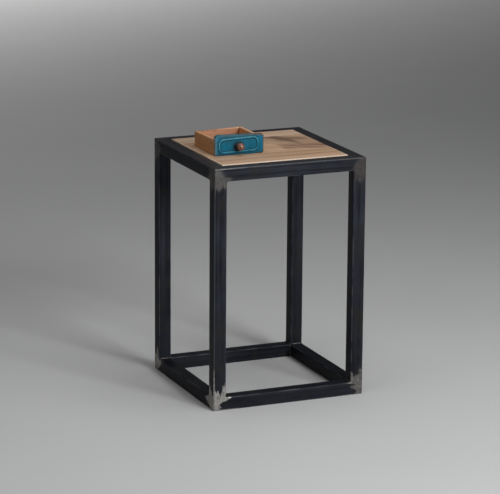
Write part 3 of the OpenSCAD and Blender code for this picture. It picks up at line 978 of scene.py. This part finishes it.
def nailTree():
    # a domed wire nail on every point of the start mesh, its point along +Z and its head at 0
    tree, given = newGeometry("wireNails", {
        "Head": 0.0013, "Shank": 0.0007, "Length": 0.017,
        "Dome": 0.0003})
    head = tree.node("GeometryNodeMeshUVSphere", inputs={"Segments": 16, "Rings": 10, "Radius": 1.0})
    x, y, z = tree.split(tree.position())
    head = tree.moved(head, tree.join(x * given["Head"], y * given["Head"], z * given["Dome"]))
    shank = tree.node("GeometryNodeMeshCylinder", inputs={
        "Vertices": 10, "Radius": given["Shank"], "Depth": given["Length"]})
    shank = tree.node("GeometryNodeTransform", inputs={
        "Geometry": shank, "Translation": tree.join(0, 0, given["Length"] / 2)})
    nail = tree.node("GeometryNodeJoinGeometry", inputs={0: head})
    tree.group.links.new(shank.socket, nail.socket.node.inputs[0])
    return endGeometry(tree, onPoints(tree, given, nail), given["Material"])


def makeNails(nailSteel):
    group = nailTree()
    low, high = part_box("side_nails")
    headRadius = nailLook["headRadius"]
    sides, under = [], []
    for z in (low.z + headRadius, high.z - headRadius):
        sides.append(turned((90, "Y"), Vector((low.x, (low.y + high.y) / 2, z))))
        sides.append(turned((-90, "Y"), Vector((high.x, (low.y + high.y) / 2, z))))
    low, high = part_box("bottom_nails")
    for x in (low.x + headRadius, (low.x + high.x) / 2, high.x - headRadius):
        under.append(turned(Vector((x, (low.y + high.y) / 2, low.z))))
    for name, places in (("side_nails", sides), ("bottom_nails", under)):
        sizes = {"Head": headRadius, "Length": nailLook["lengths"][name]}
        piece = grow(name, group, {**sizes, "Material": nailSteel}, startPoints(name, places))
        keep(piece, "drawer", "nail_steel", name, angle=40)


makeFrame(makeSteel("blackenedTube", "attribute"))
print("frame: twelve tubes")
makeWelds(makeWeldMetal())
print("welds done")

plateSteel = makeSteel("blackenedPlate", "place")
zinc = makeSmallMetal("zincPlate", zincLook)
for name in ("plate_front_left", "plate_front_right", "plate_back_left", "plate_back_right",
        "board_screws", "knob_screw"):
    materials = cadNodes[name].data.materials
    materials.clear()
    materials.append(plateSteel if name.startswith("plate") else zinc)
makeTop()
print("top: three boards")

# for each plank: its look, the rounding of its edges, a seed, and how far its top edge falls
insideWarm = {
    "colours": [(0.28, (0.20, 0.084, 0.038)), (0.46, (0.33, 0.152, 0.078)), (0.62, (0.39, 0.195, 0.105)),
        (0.78, (0.25, 0.105, 0.050))],
    "cloudColour": (0.33, 0.125, 0.054),
}
wornTop = {"z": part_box("drawer_side_left")[1].z, "colour": (0.50, 0.29, 0.18)}
sideDark = {**boxLook, "wornTop": wornTop}
planks = {
    "drawer_side_left": (sideDark, 0.9 * mm, 3, 2.5 * mm),
    "drawer_side_right": ({**sideDark, "seed": 5.6}, 0.9 * mm, 4, 0.5 * mm),
    "drawer_back": ({**sideDark, **insideWarm, "along": "X", "seed": 8.4}, 0.8 * mm, 6, -3 * mm),
    "drawer_bottom": ({**boxLook, **insideWarm, "along": "X", "seed": 3.9}, 0.4 * mm, 7, 0),
}
for name, values in planks.items():
    makePlank(name, *values)
paint = makePaint()
makeFront(paint)
makeBead(paint)
makeKnob(makeKnobWood())
makeNails(makeSmallMetal("oldNail", nailLook))
print("drawer done")


white = (1.0, 1.0, 1.0)
stageLook = {
    "floor": (0.52, 0.52, 0.515), "floorDark": 0.93, "floorSize": 30,
    "world": (0.9, 0.94, 1.0), "worldStrength": 0.02,
    "lamps": {  # where from, aim, size, power, colour
        "key": ((1.3, -1.9, 1.9), (0, 0, 0.3), 1.6, 12, (1.0, 0.99, 0.97)),
        "top": ((0.1, -0.3, 2.6), (0, 0, 0.3), 2.0, 26, white),
        "front": ((1.1, -3.0, 1.1), (0, 0, 0.3), 1.6, 4, (0.80, 0.90, 1.0)),
        "left": ((-2.8, -1.4, 1.9), (0, 0, 0.3), 2.0, 14, white),
        "near": ((0.9, -3.6, 2.0), (0.3, -1.7, 0), 1.4, 135, (0.96, 0.98, 1.0)),
        "back": ((0.6, 9.5, 4.0), (0, 11, 0), 4.0, 740, white),
    },
}
cameraLook = {
    "azimuth": -23.17, "elevation": 14.0, "roll": 0.42,  # degrees
    "distance": 5.951, "lens": 187.7, "sensor": 36, "clipEnd": 100, "aim": (-0.0130, 0.0152, 0.3154),
}


def makeStage():
    material, tree, place = newMaterial("paleFloor")
    cloud = noise(place, scale=1.6, detail=5)
    darker = tuple(c * stageLook["floorDark"] for c in stageLook["floor"])
    colour = blend(cloud, stageLook["floor"], darker)
    finishMaterial(tree, Base_Color=colour, Roughness=0.75)
    mesh = bpy.data.meshes.new("floor")
    size = stageLook["floorSize"]
    corners = [(-size, -size, 0), (size, -size, 0), (size, size, 0), (-size, size, 0)]
    mesh.from_pydata(corners, [], [(0, 1, 2, 3)])
    mesh.materials.append(material)
    link("floor", mesh)

    world = bpy.data.worlds.new("studio")
    bpy.context.scene.world = world
    world.use_nodes = True
    world.node_tree.nodes.clear()
    tree = Tree(world.node_tree)
    light = tree.node("ShaderNodeBackground", inputs={
        "Color": (*stageLook["world"], 1), "Strength": stageLook["worldStrength"]})
    tree.node("ShaderNodeOutputWorld", inputs={"Surface": light})

    for name, (start, aim, size, power, colour) in stageLook["lamps"].items():
        lamp = bpy.data.lights.new(name, "AREA")
        lamp.shape = "SQUARE"
        lamp.size = size
        lamp.energy = power
        lamp.color = colour
        placed = link(name, lamp)
        placed.location = start
        placed.rotation_euler = (Vector(aim) - placed.location).to_track_quat("-Z", "Y").to_euler()


def makeCamera():
    look = cameraLook
    a, e, roll = (math.radians(look[key]) for key in ("azimuth", "elevation", "roll"))
    back = Vector((math.sin(a) * math.cos(e), -math.cos(a) * math.cos(e), math.sin(e)))
    level = Vector((math.cos(a), math.sin(a), 0))
    upright = back.cross(level)
    right = level * math.cos(roll) + upright * math.sin(roll)
    up = back.cross(right)
    camera = link("camera", bpy.data.cameras.new("camera"))
    camera.data.sensor_width = look["sensor"]
    camera.data.lens = look["lens"]
    camera.data.clip_end = look["clipEnd"]
    turn = Matrix((right, up, back)).transposed().to_4x4()
    camera.matrix_world = Matrix.Translation(Vector(look["aim"]) + back * look["distance"]) @ turn
    bpy.context.scene.camera = camera


makeStage()
makeCamera()
bpy.context.scene.view_settings.view_transform = "Standard"
print("stage, light and camera done")
